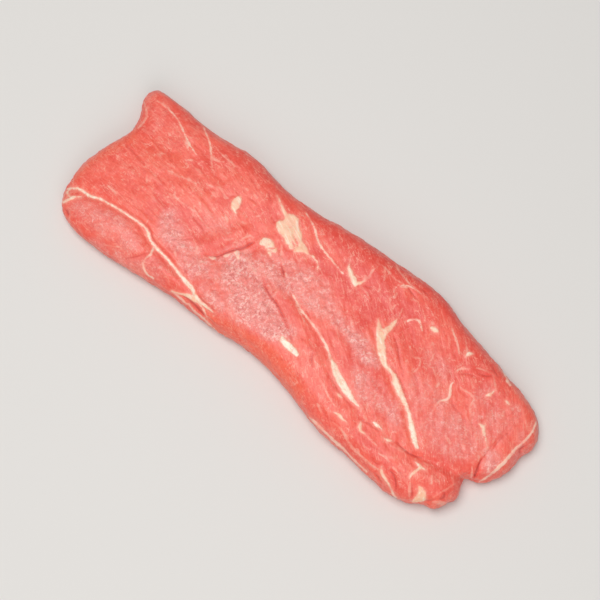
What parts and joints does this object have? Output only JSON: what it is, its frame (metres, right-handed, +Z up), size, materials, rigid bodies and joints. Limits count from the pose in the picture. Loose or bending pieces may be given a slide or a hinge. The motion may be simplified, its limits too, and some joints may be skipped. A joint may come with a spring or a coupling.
{
  "type": "raw flat iron steak",
  "caption": "Long, flat, boneless cut of raw red meat with streaks of fat, one rounded end, one lobed end and a flat underside to lie on.",
  "frame": {"origin": "bottom centre of the steak's box, on the board it lies on", "axes": "+X along the length from the eared end to the lobed end, +Y across the width towards the far edge, +Z up through the thickness"},
  "size_m": [0.31, 0.109, 0.0235],
  "materials": {
    "raw_meat": "moist raw red meat, satin, with cream fat"
  },
  "bodies": {
    "root": {"steak": "raw_meat"}
  },
  "joints": []
}
